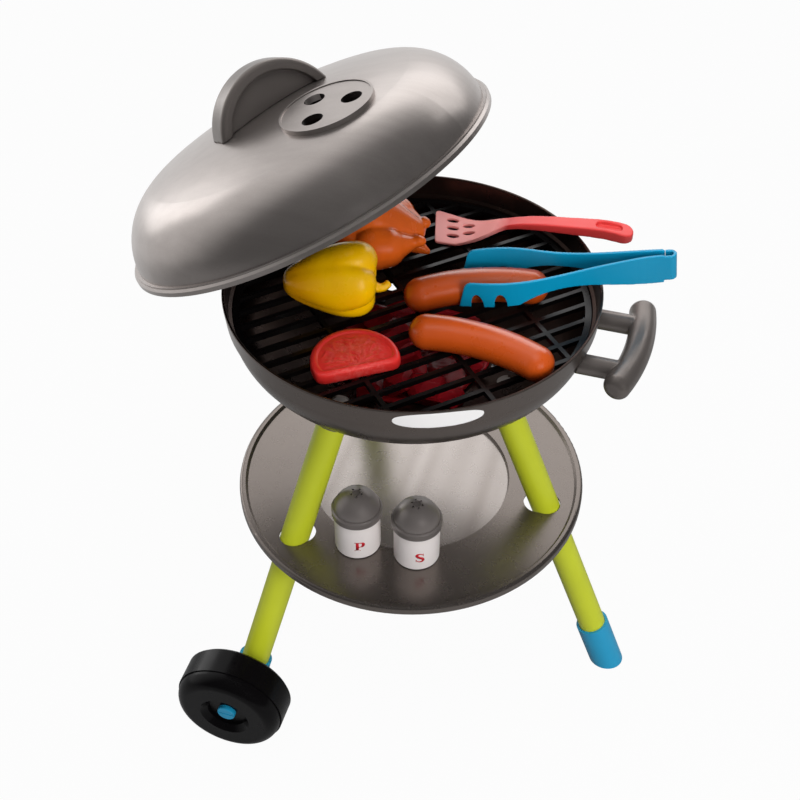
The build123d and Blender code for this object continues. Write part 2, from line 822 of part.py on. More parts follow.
def make_sausage(place, turn):
    """A bowed sausage with round ends, lying on the grate."""
    bend = (sausage_half_chord**2 + sausage_bow**2) / (2 * sausage_bow)
    half_turn = math.degrees(math.asin(sausage_half_chord / bend))
    section = Plane.XZ * Pos(bend, 0) * Circle(sausage_radius)
    sausage = turned(-half_turn) * revolve(section, Axis.Z, 2 * half_turn)
    for side in (-1, 1):
        sausage += turned(side * half_turn) * Pos(bend, 0, 0) * Sphere(sausage_radius)
    height = grate_top + slide_gap + sausage_radius
    centre_back = bend - sausage_bow
    return Pos(place[0], place[1], height) * turned(turn + 90) * Pos(-centre_back, 0, 0) * sausage


def tomato_outline(inset, corner):
    """The slice's outline with round corners, or a smaller one inside it."""
    across = (tomato_radius + overrun) * 2
    cut = Pos(0, inset - tomato_chord - across / 2) * Rectangle(across, across)
    outline = Circle(tomato_radius - inset) - cut
    return fillet(outline.vertices(), corner)


def make_tomato():
    """A tomato slice with one straight side, and a raised skin round its flesh."""
    slice_solid = extrude(tomato_outline(0, tomato_corner), tomato_thickness)
    slice_solid = fillet(slice_solid.edges().group_by(Axis.Z)[-1], tomato_round)
    flesh = extrude(tomato_outline(tomato_rim, tomato_skin_corner), overrun)
    slice_solid -= Pos(0, 0, tomato_thickness - tomato_relief) * flesh
    return Pos(tomato_place[0], tomato_place[1], grate_top + slide_gap) * turned(tomato_turn) * slice_solid


def make_yellow_pepper():
    """A toy pepper lying on its side: four lobes and a stub of stem."""
    pepper = None
    for i in range(pepper_lobes):
        turn = pepper_lobe_turn + i * 360 / pepper_lobes
        lean = math.degrees(math.atan(pepper_lobe_offset / 2 / pepper_food_length))
        lobe = pear(pepper_food_length, pepper_lobe_radius, pepper_lobe_tip_radius)
        lobe = Rot(turn, 0, 0) * Pos(0, 0, pepper_lobe_offset / 2) * Rot(0, -lean, 0) * lobe
        pepper = lobe if pepper is None else pepper + lobe
    stem_start = (pepper_food_length - pepper_stem_sink, 0, 0)
    stem_bend = (pepper_food_length, 0, -pepper_stem_drop)
    stem_end = (pepper_food_length + pepper_stem_length, pepper_stem_radius, -pepper_stem_drop)
    pepper += bar_between(stem_start, stem_bend, pepper_stem_foot_radius, pepper_stem_radius)
    pepper += Pos(*stem_bend) * Sphere(pepper_stem_radius)
    pepper += bar_between(stem_bend, stem_end, pepper_stem_radius, pepper_stem_end_radius)
    pepper = Pos(-pepper_food_length / 2, 0, 0) * pepper
    low = pepper.bounding_box().min.Z
    height = grate_top + slide_gap - low
    return Pos(pepper_food_place[0], pepper_food_place[1], height) * turned(pepper_food_turn) * pepper


def make_chicken():
    """A toy roast chicken: body, two thighs with shanks, two wings and a tail."""
    body_height = chicken_body_radius
    blunt_centre = chicken_length - chicken_body_radius
    body = Pos(-blunt_centre, 0, 0) * pear(chicken_length, chicken_body_radius, chicken_back_radius)
    place = Pos(chicken_length / 2 - blunt_centre, 0, body_height)
    chicken = place * Rot(0, chicken_back_slope, 0) * Rot(0, 0, 180) * body
    for side in (-1, 1):
        thigh = pear(thigh_length, thigh_radius, thigh_tip_radius)
        chicken += Pos(-thigh_behind, side * thigh_side, thigh_radius) * turned(-side * thigh_turn) * thigh
        start = (
            thigh_length - thigh_behind - shank_radius * 2,
            side * (thigh_side - shank_radius),
            thigh_radius,
        )
        end = (knuckle_ahead, side * knuckle_side, knuckle_rise)
        chicken += bar_between(start, end, shank_radius, shank_end_radius)
        chicken += Pos(*end) * Sphere(knuckle_radius)
        wing = pear(wing_length, wing_radius, wing_tip_radius)
        chicken += Pos(-wing_behind, side * wing_side, body_height) * turned(-side * wing_turn) * wing
    chicken += Pos(chicken_tail_ahead, -chicken_tail_side, chicken_tail_rise) * Sphere(chicken_tail_radius)
    place = Pos(chicken_place[0], chicken_place[1], grate_top + slide_gap)
    return place * turned(chicken_turn) * chicken


def spatula_side():
    """The spatula seen from its side: a thin blade, a rise, and a thicker handle."""
    blade = blade_thickness
    top_points = [(spatula_bend_start, blade)]
    bottom_points = [(spatula_bend_start + blade, 0)]
    for at, high, low in zip(spatula_station_shares, spatula_top_shares, spatula_bottom_shares):
        top_points.append((at * spatula_length, high * spatula_rise))
        bottom_points.append((at * spatula_length, low * spatula_rise))
    top = Spline(*top_points, tangents=((1, 0), (1, -spatula_end_slope)))
    bottom = Spline(*reversed(bottom_points), tangents=((-1, 0), (-1, 0)))
    front = -blade_slant
    outline = Line((front, 0), (front, blade)) + Line((front, blade), top @ 0) + top
    outline += Line(top @ 1, bottom @ 0) + bottom + Line(bottom @ 1, (front, 0))
    return make_face(outline)


def spatula_plan():
    """The spatula seen from above: a slanted blade, a neck, and a long handle."""
    half_blade = blade_width / 2
    half_neck = neck_width / 2
    half_grip = spatula_handle_width / 2
    outline = Polyline(
        (-blade_slant / 2, half_blade),
        (blade_length - blade_slant / 2, half_blade * blade_back_share),
        (neck_start, half_neck),
        (neck_end, half_neck),
        (spatula_grip_start, half_grip * spatula_grip_share),
        (spatula_length, half_grip),
        (spatula_length, -half_grip),
        (spatula_grip_start, -half_grip * spatula_grip_share),
        (neck_end, -half_neck),
        (neck_start, -half_neck),
        (blade_length, -half_blade * blade_front_share),
        (blade_slant / 2, -half_blade),
        (-blade_slant / 2, half_blade),
    )
    plan = make_face(outline)
    ends = plan.vertices().group_by(Axis.X)[-1]
    plan = fillet(ends, half_grip * spatula_end_round_share)
    tips = plan.vertices().sort_by(Axis.X)[0:1] + plan.vertices().sort_by(Axis.X)[1:2]
    return fillet(tips, blade_corner)


def make_spatula():
    """The slotted spatula, with its blade on the grate and its handle over the lip."""
    side = extrude(Plane.XZ * spatula_side(), blade_width, both=True)
    plan = extrude(Pos(0, 0, -overrun) * spatula_plan(), spatula_length)
    spatula = side & plan
    for row, count in ((0, 3), (1, 2)):
        for i in range(count):
            across = (i - (count - 1) / 2) * blade_slot_pitch
            x = blade_slot_start + row * blade_slot_row - across * blade_slant / blade_width
            slot = extrude(Ellipse(blade_slot_length / 2, blade_slot_width / 2), spatula_rise)
            spatula -= Pos(x, across, -overrun) * slot
    dent = Pos(spatula_length - thumb_recess_back, 0, spatula_rise) * thumb_recess()
    spatula -= dent
    place = Pos(spatula_place[0], spatula_place[1], grate_top + slide_gap)
    return place * turned(spatula_turn) * spatula


def thumb_recess():
    """The long shallow thumb recess on the spatula's handle."""
    return extrude(SlotOverall(thumb_recess_length, thumb_recess_width), thumb_recess_depth * 2, both=True)


def tongs_frame():
    """Frame of the tongs: the bend is at the origin and the tips point along +X."""
    tip = Pos(tongs_tip_place[0], tongs_tip_place[1], grate_top + tongs_tip_rise)
    return tip * turned(tongs_turn) * Rot(0, tongs_pitch, 0) * Pos(-tongs_length, 0, 0)


def tongs_arm_plan(side):
    """One arm seen from above, from the hinge line near the bend to its tip."""
    gap = tongs_bend_radius
    points = [(tongs_hinge_back, side * gap)]
    for at, out in zip(tongs_station_shares, tongs_spread_shares):
        points.append((at * tongs_length, side * out * tongs_spread[side]))
    middle = Spline(*points, tangents=((1, 0), (1, -side * tongs_end_flare)))
    return trace(middle, tongs_strip)


def tongs_arm_side(side):
    """One arm seen from its side: tall at the bend, a narrow neck, and a toothed grip."""
    low = (tongs_height - tongs_neck_height) * tongs_neck_drop_share
    high = low + tongs_neck_height
    neck_start, neck, grip = [share * tongs_length for share in tongs_side_shares]
    first_tooth = tongs_first_tooth_share * tongs_length
    top = Spline(
        (-overrun * 2, tongs_height),
        (neck_start, tongs_height * tongs_top_shares[0]),
        (neck, high),
        (grip, tongs_height * tongs_top_shares[1]),
        (tongs_length - tongs_tip_slant, tongs_height),
    )
    bottom = Spline(
        (first_tooth - tongs_tooth_gap, 0),
        (grip - tongs_tooth_gap, low * tongs_bottom_shares[1]),
        (neck, low),
        (neck_start, low * tongs_bottom_shares[0]),
        (-overrun * 2, 0),
    )
    tip = (tongs_length, 0)
    outline = top + Line(top @ 1, tip) + Line(tip, bottom @ 0)
    outline += bottom + Line(bottom @ 1, top @ 0)
    face = make_face(outline)
    corner = face.vertices().sort_by_distance(top @ 1)[0:1]
    face = fillet(corner, tongs_tip_round)
    for i in range(2):
        x = first_tooth + tongs_tooth_gap / 2 + i * tongs_tooth_pitch
        notch = Pos(x, 0) * Ellipse(tongs_tooth_gap / 2, tongs_tooth_depths[side])
        face -= notch
    return face


def make_tongs_arm(side):
    """An arm of the tongs: its plan cut to its side view."""
    tall = extrude(Pos(0, 0, -overrun) * tongs_arm_plan(side), tongs_height + 2 * overrun)
    wide = extrude(Plane.XZ * tongs_arm_side(side), tongs_length, both=True)
    return tall & wide


def make_tongs_front_arm():
    """The arm nearer the side handle's front, with the round bend that joins both arms."""
    arm = make_tongs_arm(1)
    radius = tongs_bend_radius
    outer = Cylinder(radius + tongs_strip / 2, tongs_height, align=(Align.CENTER, Align.CENTER, Align.MIN))
    outer -= rod(radius - tongs_strip / 2, tongs_height)
    outer -= Pos(radius * 2, 0, 0) * block(radius * 4, radius * 4, tongs_height)
    straight = block(tongs_hinge_back, tongs_strip, tongs_height)
    arm += outer
    arm += Pos(tongs_hinge_back / 2, radius, 0) * straight
    reach = tongs_hinge_back - tongs_strip / 2 - face_gap
    arm += Pos(reach / 2, -radius, 0) * block(reach, tongs_strip, tongs_height)
    return tongs_frame() * arm


def make_tongs_back_arm():
    """The far arm, which swings in about a line near the bend when it is squeezed."""
    arm = make_tongs_arm(-1)
    knuckle = Pos(tongs_hinge_back, -tongs_bend_radius, 0) * rod(tongs_strip / 2, tongs_height)
    return tongs_frame() * (arm + knuckle)


def make_socket_screws():
    """The screws from inside the bowl into the leg sockets."""
    return [socket_screw_frame(turn) * screw(screw_length) for turn in leg_turns.values()]


def make_handle_screws():
    """The screws from inside the bowl into the side handle."""
    return [frame * screw(screw_length) for frame in handle_screw_frames()]


def write(name, shape):
    """Save one node, which may be a list of separate solids."""
    if isinstance(shape, list):
        shape = Compound(children=shape)
    export_step(shape, os.path.join("parts", name + ".step"))


def main():
    os.makedirs("parts", exist_ok=True)
    write("fire_bowl", make_fire_bowl())
    write("tray", make_tray())
    write("side_handle", make_side_handle())
    write("grate", make_grate())
    write("embers", make_embers())
    write("foot_cap", make_foot_cap())
    write("socket_screws", make_socket_screws())
    write("handle_screws", make_handle_screws())
    for name, turn in leg_turns.items():
        bottom = foot_end_height() if name == "foot" else wheel_leg_end()
        write("leg_" + name, make_leg(turn, bottom))
        write("leg_socket_" + name, make_leg_socket(turn))
    for name, side in (("left", 1), ("right", -1)):
        write("wheel_" + name, make_wheel(side))
        write("axle_pin_" + name, make_axle_pin(side))
        write("wheel_fitting_" + name, make_wheel_fitting(side))
    write("lid_dome", make_lid_dome())
    write("lid_handle", make_lid_handle())
    write("lid_screws", make_lid_screws())
    write("vent_plate", make_vent_plate())
    write("pepper_shaker_body", make_shaker_body(pepper_place))
    write("pepper_shaker_cap", make_shaker_cap(pepper_place, (0, 72, 144, 216, 288)))
    write("salt_shaker_body", make_shaker_body(salt_place))
    write("salt_shaker_cap", make_shaker_cap(salt_place, (0, 60, 120, 180, 240, 300)))
    write("sausage_rear", make_sausage(rear_sausage_place, rear_sausage_turn))
    write("sausage_front", make_sausage(front_sausage_place, front_sausage_turn))
    write("tomato_slice", make_tomato())
    write("yellow_pepper", make_yellow_pepper())
    write("roast_chicken", make_chicken())
    write("spatula", make_spatula())
    write("tongs_front_arm", make_tongs_front_arm())
    write("tongs_back_arm", make_tongs_back_arm())


main()
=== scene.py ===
import bmesh
import bpy
import math
import random
from mathutils import Matrix, Vector, noise


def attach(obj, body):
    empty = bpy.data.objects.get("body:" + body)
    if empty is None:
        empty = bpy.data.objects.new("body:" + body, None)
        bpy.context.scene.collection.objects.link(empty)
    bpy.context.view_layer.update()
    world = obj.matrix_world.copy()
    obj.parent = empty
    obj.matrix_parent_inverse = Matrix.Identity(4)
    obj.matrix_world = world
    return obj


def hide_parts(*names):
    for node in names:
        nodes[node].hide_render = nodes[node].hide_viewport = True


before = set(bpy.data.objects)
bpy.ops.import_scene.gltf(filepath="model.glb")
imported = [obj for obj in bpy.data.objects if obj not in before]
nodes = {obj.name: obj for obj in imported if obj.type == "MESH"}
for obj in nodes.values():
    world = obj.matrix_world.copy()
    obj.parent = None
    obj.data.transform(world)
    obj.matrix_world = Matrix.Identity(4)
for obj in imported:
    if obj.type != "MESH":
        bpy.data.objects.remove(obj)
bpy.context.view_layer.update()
MM = 0.001

# Sizes and places repeated from the CAD part, in millimetres. A food's place is its x, its y
# and its turn in degrees.
GRATE_TOP = 482.35
BELLY_TOP = 484.0
BELLY_DEPTH = 80.0
BELLY_ROUND = 325.4
BOWL_WALL = 3.0
RIM_FOOT = 486.0
RIM_FOOT_RADIUS = 178.0
RIM_SLOPE = 0.1
SHAKER_RADIUS = 23.5
PEPPER_SHAKER = (-25.0, -108.4)
SALT_SHAKER = (37.0, -105.0)
CHICKEN = (-50.0, 69.4, 6.0)
YELLOW_PEPPER = (-70.0, -36.0, 19.0)
TOMATO = (-21.8, -107.0, 34.3)
TOMATO_RADIUS = 40.8
TOMATO_CHORD = 16.1
TOMATO_THICKNESS = 13.0

# Places in metres and directions that the materials use. A pair is where a change starts and
# where it ends.
BOWL_MIDDLE = (0.0, 0.0, 0.56)
LID_MIDDLE = (-0.105, 0.0177, 0.545)
VENT_CENTRE = (-0.0705, -0.022, 0.6915)
VENT_AXIS = (-0.313, -0.023, 0.949)
VENT_REACH = 0.036
DISH_EDGE = (0.1055, 0.107)
BLADE_END = (0.052, 0.066)
PEPPER_AXIS = (0.9455, 0.3256, 0.35)
PEPPER_TIP = (0.075, 0.115)
FLESH_MIDDLE = (TOMATO[0] * MM, TOMATO[1] * MM, 0.482)
FLESH_EDGE = (0.026, 0.034)
EMBER_TOPS = (0.409, 0.417)

WHITE = (1.0, 1.0, 1.0, 1.0)


# Colours and materials

def tone(code):
    """A colour from its hex code, made linear."""
    values = [int(code[i:i + 2], 16) / 255 for i in (0, 2, 4)]
    linear = [v / 12.92 if v <= 0.04045 else ((v + 0.055) / 1.055) ** 2.4 for v in values]
    return tuple(linear) + (1.0,)


class Nodes:
    """Short names for the nodes of a material or a world."""

    def __init__(self, tree, coordinates):
        self.tree = tree
        source = self.node("TexCoord")
        self.place = source.outputs[coordinates]
        self.normal = source.outputs["Normal"]

    def node(self, kind):
        return self.tree.nodes.new("ShaderNode" + kind)

    def feed(self, socket, value):
        """Give a socket a fixed value or another node's output."""
        if isinstance(value, (int, float, tuple)):
            socket.default_value = value
        elif value is not None:
            self.tree.links.new(value, socket)

    def noise(self, scale, detail=2.0, rough=0.5, stretch=None):
        source = self.place
        if stretch:
            mapping = self.node("Mapping")
            self.feed(mapping.inputs["Scale"], stretch)
            self.feed(mapping.inputs["Vector"], source)
            source = mapping.outputs["Vector"]
        node = self.node("TexNoise")
        self.feed(node.inputs["Scale"], scale)
        self.feed(node.inputs["Detail"], detail)
        self.feed(node.inputs["Roughness"], rough)
        self.feed(node.inputs["Vector"], source)
        return node.outputs["Fac"]

    def spread(self, value, low, high, start=0.3, end=0.7):
        """Turn start to end into low to high, and hold both beyond them."""
        node = self.node("MapRange")
        self.feed(node.inputs["From Min"], start)
        self.feed(node.inputs["From Max"], end)
        self.feed(node.inputs["To Min"], low)
        self.feed(node.inputs["To Max"], high)
        self.feed(node.inputs["Value"], value)
        return node.outputs["Result"]

    def blend(self, value, first, second):
        """Mix two colours."""
        node = self.node("Mix")
        node.data_type = "RGBA"
        self.feed(node.inputs["Factor"], value)
        self.feed(node.inputs[6], first)
        self.feed(node.inputs[7], second)
        return node.outputs[2]

    def either(self, value, first, second):
        """Mix two shaders."""
        node = self.node("MixShader")
        for socket, source in zip(node.inputs, (value, first, second)):
            self.feed(socket, source)
        return node.outputs["Shader"]

    def vector(self, operation, first, second=None):
        node = self.node("VectorMath")
        node.operation = operation
        self.feed(node.inputs[0], first)
        self.feed(node.inputs[1], second)
        return node.outputs["Value" if operation in ("LENGTH", "DOT_PRODUCT") else "Vector"]

    def maths(self, operation, first, second=None):
        node = self.node("Math")
        node.operation = operation
        self.feed(node.inputs[0], first)
        self.feed(node.inputs[1], second)
        return node.outputs["Value"]

    def axis(self, letter):
        node = self.node("SeparateXYZ")
        self.feed(node.inputs["Vector"], self.place)
        return node.outputs[letter]


class Shader(Nodes):
    """One procedural material."""

    def __init__(self, name):
        self.material = bpy.data.materials.new(name)
        self.material.use_nodes = True
        super().__init__(self.material.node_tree, "Object")
        self.surface = self.tree.nodes["Principled BSDF"]

    def set(self, **values):
        for name, value in values.items():
            self.feed(self.surface.inputs[name.replace("_", " ")], value)

    def bumps(self, layers):
        """Stack bump layers, each a height, a strength and a depth in millimetres."""
        last = None
        for height, strength, depth in layers:
            node = self.node("Bump")
            self.feed(node.inputs["Strength"], strength)
            self.feed(node.inputs["Distance"], depth * MM)
            self.feed(node.inputs["Height"], height)
            self.feed(node.inputs["Normal"], last)
            last = node.outputs["Normal"]
        self.set(Normal=last)


def metal_tint(s, colour, bright, amount):
    """Fine metal flecks moulded into the plastic."""
    fleck = s.spread(s.noise(900.0, 1.0), 0.0, amount, 0.52, 0.72)
    return s.blend(fleck, colour, bright)


def inner_side(s, centre):
    """One where a shell's surface faces its middle, none where it faces out."""
    facing = s.vector("DOT_PRODUCT", s.vector("SUBTRACT", s.place, centre), s.normal)
    return s.maths("LESS_THAN", facing, 0.0)


def bowl_colour(s, colour):
    """Painted shade inside the bowl, near-black brown with a little random tone; taupe with
    flecks outside.
    """
    colour = metal_tint(s, colour, tone("7f7772"), 0.12)
    # Painted shade on the bowl's inner surface, with a little random tone in it
    painted_inner_shade = s.blend(s.spread(s.noise(30.0, 3.0), 0.0, 1.0), tone("362925"), tone("46362f"))
    return s.blend(inner_side(s, BOWL_MIDDLE), colour, painted_inner_shade)


def tray_colour(s, colour):
    """A dish painted paler, with soft streaks of painted reflection, inside a darker rim."""
    colour = metal_tint(s, colour, tone("827a75"), 0.1)
    reach = s.vector("LENGTH", s.vector("MULTIPLY", s.place, (1.0, 1.0, 0.0)))
    dish = s.spread(reach, 1.0, 0.0, *DISH_EDGE)
    # Painted reflection: a paler dish with soft pale streaks along it
    streak = s.noise(42.0, 1.0, 0.4, (1.0, 0.03, 1.0))
    painted_reflection = s.blend(s.spread(streak, 0.0, 1.0, 0.2, 0.8), tone("8c847f"), tone("aaa39f"))
    return s.blend(dish, colour, painted_reflection)


def vent_wall(s):
    """One on the walls of the lid's three vent holes, none elsewhere."""
    away = s.vector("LENGTH", s.vector("SUBTRACT", s.place, VENT_CENTRE))
    lean = s.maths("ABSOLUTE", s.vector("DOT_PRODUCT", s.normal, VENT_AXIS))
    near = s.maths("LESS_THAN", away, VENT_REACH)
    return s.maths("MULTIPLY", near, s.maths("LESS_THAN", lean, 0.5))


def lid_colour(s, colour):
    """Silver grey with very fine brushed streaks, and painted shade underneath and on the walls
    of the holes.
    """
    streak = s.noise(85.0, 5.0, 0.65, (0.05, 1.0, 1.0))
    brushed = s.blend(s.spread(streak, 0.0, 0.5), colour, tone("b3aba7"))
    brushed = metal_tint(s, brushed, tone("c5beba"), 0.1)
    # Painted shade under the lid and on the walls of its vent holes
    painted_shade = s.maths("MAXIMUM", inner_side(s, LID_MIDDLE), vent_wall(s))
    return s.blend(painted_shade, brushed, tone("2d2726"))


def spatula_colour(s, colour):
    """The thin blade lets light through and looks paler than the handle."""
    blade = s.spread(s.axis("X"), 1.0, 0.0, *BLADE_END)
    return s.blend(blade, colour, tone("ff9d97"))


def pepper_colour(s, colour):
    """Yellow with painted shadow that turns it amber towards the tip and the underside, and amber
    in broad soft patches of random tone.
    """
    # Painted shadow: amber towards the tip and the lower side
    painted_shadow = s.spread(s.vector("DOT_PRODUCT", s.place, PEPPER_AXIS), 0.8, 0.0, *PEPPER_TIP)
    patch = s.spread(s.noise(30.0, 2.0), 0.0, 0.25)
    return s.blend(s.maths("MAXIMUM", painted_shadow, patch), colour, tone("dd9106"))


def tomato_colour(s, colour):
    """Red skin, with paler threads in the flesh."""
    threads = s.spread(s.noise(260.0, 4.0, 0.7), 0.0, 1.0, 0.45, 0.75)
    reach = s.vector("LENGTH", s.vector("SUBTRACT", s.place, FLESH_MIDDLE))
    flesh = s.spread(reach, 0.32, 0.0, *FLESH_EDGE)
    return s.blend(s.maths("MULTIPLY", flesh, threads), colour, tone("ee8d84"))


def roast_colour(s, colour):
    """Orange brown with darker roasted patches."""
    patch = s.spread(s.noise(38.0, 3.0), 0.0, 0.35, 0.45, 0.75)
    return s.blend(patch, colour, tone("ae4716"))


def ember_colour(s, colour):
    """Deep red lumps that turn near black towards the bottom and in patches, over a near black
    bed.
    """
    # Darker towards the bottom: near black below the lumps' lower parts
    darker_low = s.spread(s.axis("Z"), 1.0, 0.0, *EMBER_TOPS)
    patch = s.spread(s.noise(16.0, 2.0), 0.0, 0.5, 0.55, 0.7)
    return s.blend(s.maths("MAXIMUM", darker_low, patch), colour, tone("1c0a0a"))


finish = {}


def finish_of(slot, name, code, rough, variation, grain, grain_scale=900.0, wave=0.05,
              uneven=0.045, second=None, **values):
    """Moulded plastic: a slightly uneven colour and gloss, a fine skin grain and a soft wave.

    second adds a colour pattern, and values are the shader's other sockets."""
    s = Shader(name)
    base = tone(code)[:3]
    paler = tuple(min(v * (1 + variation), 1.0) for v in base) + (1.0,)
    darker = tuple(v * (1 - variation) for v in base) + (1.0,)
    colour = s.blend(s.spread(s.noise(11.0, 3.0), 0.0, 1.0), darker, paler)
    if second:
        colour = second(s, colour)
    gloss = s.spread(s.noise(70.0, 4.0), rough - uneven, rough + uneven)
    s.set(Base_Color=colour, Roughness=gloss, **values)
    layers = []
    if wave:
        layers.append((s.noise(26.0, 2.0), wave, 0.8))
    if grain:
        layers.append((s.noise(grain_scale, 2.0), grain, 0.06))
    if layers:
        s.bumps(layers)
    finish[slot] = s.material


# What the metal-flake plastics share: no skin grain, so that they mirror the studio softly
FLAKED = {"grain": 0.0, "wave": 0.0, "uneven": 0.01}

finish_of("bowl_plastic", "bowl_satin", "6c635e", rough=0.28, variation=0.03,
          second=bowl_colour, Metallic=0.85, **FLAKED)
finish_of("tray_plastic", "tray_satin", "766e69", rough=0.27, variation=0.02,
          second=tray_colour, Metallic=0.85, **FLAKED)
finish_of("lid_plastic", "lid_silver", "a29a96", rough=0.3, variation=0.02,
          second=lid_colour, Metallic=0.9, **FLAKED)
finish_of("handle_plastic", "handle_matt", "746d69", rough=0.34, variation=0.06,
          grain=0.2, grain_scale=1300.0, Metallic=0.7)
finish_of("leg_plastic", "leg_lime", "c0c82a", rough=0.38, variation=0.05,
          grain=0.2, grain_scale=1200.0)
finish_of("blue_plastic", "cap_blue", "1d93bd", rough=0.4, variation=0.05,
          grain=0.2, grain_scale=1200.0)
finish_of("wheel_plastic", "wheel_black", "080708", rough=0.24, variation=0.1,
          grain=0.1, grain_scale=1100.0, Specular_IOR_Level=0.15)
finish_of("screw_steel", "screw_zinc", "a5a5a8", rough=0.3, variation=0.05,
          grain=0.1, grain_scale=1800.0, Metallic=1.0)
finish_of("grate_plastic", "grate_black", "0a0808", rough=0.3, variation=0.1,
          grain=0.15, grain_scale=1200.0, Specular_IOR_Level=0.3)
finish_of("ember_plastic", "ember_red", "a01822", rough=0.2, variation=0.12,
          grain=0.08, grain_scale=600.0, second=ember_colour, Specular_IOR_Level=0.2)
finish_of("shaker_plastic", "shaker_white", "e8e0dd", rough=0.35, variation=0.02, grain=0.1)
finish_of("cap_plastic", "shaker_cap", "7a7370", rough=0.36, variation=0.05,
          grain=0.05, grain_scale=1500.0, wave=0.0, Metallic=0.45)
finish_of("sausage_plastic", "sausage_skin", "ae4510", rough=0.3, variation=0.08,
          grain=0.06, grain_scale=500.0, wave=0.06, Coat_Weight=0.8, Coat_Roughness=0.2)
finish_of("tomato_plastic", "tomato_red", "cc2a26", rough=0.33, variation=0.06,
          grain=0.15, grain_scale=420.0, wave=0.12, second=tomato_colour,
          Coat_Weight=0.2, Coat_Roughness=0.2)
finish_of("pepper_plastic", "pepper_skin", "f6bf00", rough=0.27, variation=0.03,
          grain=0.06, grain_scale=700.0, wave=0.06, second=pepper_colour,
          Coat_Weight=0.25, Coat_Roughness=0.12)
finish_of("chicken_plastic", "chicken_skin", "d25c18", rough=0.24, variation=0.06,
          grain=0.06, grain_scale=420.0, wave=0.1, second=roast_colour,
          Coat_Weight=0.5, Coat_Roughness=0.1)
finish_of("spatula_plastic", "spatula_coral", "d63c3a", rough=0.36, variation=0.04,
          grain=0.12, grain_scale=1200.0, second=spatula_colour)
finish_of("tongs_plastic", "tongs_blue", "068ab2", rough=0.36, variation=0.05,
          grain=0.12, grain_scale=1200.0)
finish_of("label_plastic", "label_white", "f1efee", rough=0.22, variation=0.02, grain=0.04)
finish_of("letter_plastic", "letter_red", "c3202b", rough=0.35, variation=0.05, grain=0.05)

NODES_OF_SLOT = {
    "bowl_plastic": ("fire_bowl", "tray"),
    "handle_plastic": ("leg_socket_foot", "leg_socket_left", "leg_socket_right", "side_handle",
                       "lid_handle"),
    "leg_plastic": ("leg_foot", "leg_left", "leg_right"),
    "blue_plastic": ("foot_cap", "wheel_fitting_left", "wheel_fitting_right", "axle_pin_left",
                     "axle_pin_right"),
    "wheel_plastic": ("wheel_left", "wheel_right"),
    "screw_steel": ("socket_screws", "handle_screws", "lid_screws"),
    "grate_plastic": ("grate",),
    "ember_plastic": ("embers",),
    "lid_plastic": ("lid_dome", "vent_plate"),
    "shaker_plastic": ("pepper_shaker_body", "salt_shaker_body"),
    "cap_plastic": ("pepper_shaker_cap", "salt_shaker_cap"),
    "sausage_plastic": ("sausage_rear", "sausage_front"),
    "tomato_plastic": ("tomato_slice",),
    "pepper_plastic": ("yellow_pepper",),
    "chicken_plastic": ("roast_chicken",),
    "spatula_plastic": ("spatula",),
    "tongs_plastic": ("tongs_front_arm", "tongs_back_arm"),
}
slot_of = {node: slot for slot, group in NODES_OF_SLOT.items() for node in group}
for node, slot in slot_of.items():
    look = finish["tray_plastic"] if node == "tray" else finish[slot]
    for place in nodes[node].material_slots:
        place.material = look


# Mesh helpers

def turns(count):
    """Angles that go once round in even steps."""
    return [2 * math.pi * i / count for i in range(count)]


def mesh_of(form, name):
    """Turn a bmesh into a mesh."""
    mesh = bpy.data.meshes.new(name)
    form.to_mesh(mesh)
    form.free()
    return mesh


def pour(source, target):
    """Add a mesh to a bmesh."""
    target.from_mesh(source)
    bpy.data.meshes.remove(source)


def keep_hull(form):
    """Wrap a bmesh's points in their common hull and drop those inside it."""
    hull = bmesh.ops.convex_hull(form, input=form.verts)
    spare = [v for v in hull["geom_interior"] if isinstance(v, bmesh.types.BMVert)]
    bmesh.ops.delete(form, geom=spare, context="VERTS")


def new_piece(name, mesh, look, body, slot=None, smooth=True):
    """A new object with a finish, riding on a body."""
    piece = bpy.data.objects.new(name, mesh)
    bpy.context.collection.objects.link(piece)
    mesh.materials.clear()
    mesh.materials.append(finish[look])
    for polygon in mesh.polygons:
        polygon.use_smooth = smooth
    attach(piece, body)
    return piece


def settle(piece):
    """Take the result of the modifiers into the mesh."""
    bpy.context.view_layer.update()
    graph = bpy.context.evaluated_depsgraph_get()
    mesh = bpy.data.meshes.new_from_object(piece.evaluated_get(graph))
    piece.modifiers.clear()
    piece.data = mesh


def rounding(piece, factor, rounds):
    """A modifier that wears edges down."""
    smooth = piece.modifiers.new("round", "SMOOTH")
    smooth.factor = factor
    smooth.iterations = rounds
    return smooth


def evened(name, mesh, voxel, rounds, slot, body):
    """Fuse a mesh into one even skin and round its edges a little."""
    piece = new_piece(name, mesh, slot, body, slot)
    remesh = piece.modifiers.new("skin", "REMESH")
    remesh.mode = "VOXEL"
    remesh.voxel_size = voxel * MM
    remesh.use_smooth_shade = True
    rounding(piece, 0.5, rounds)
    settle(piece)
    for polygon in piece.data.polygons:
        polygon.use_smooth = True
    return piece


def softened(node, voxel, rounds, body):
    """A new skin over a CAD node with soft moulded edges, in the node's place."""
    form = bmesh.new()
    form.from_mesh(nodes[node].data)
    bmesh.ops.remove_doubles(form, verts=form.verts, dist=0.01 * MM)
    mesh = mesh_of(form, node + "_form")
    piece = evened(node + "_form", mesh, voxel, rounds, slot_of[node], body)
    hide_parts(node)
    return piece


def at_place(mesh, place, height):
    """Put a mesh that is drawn round its own middle where its node is."""
    matrix = Matrix.Translation((place[0] * MM, place[1] * MM, height * MM))
    mesh.transform(matrix @ Matrix.Rotation(math.radians(place[2]), 4, "Z"))


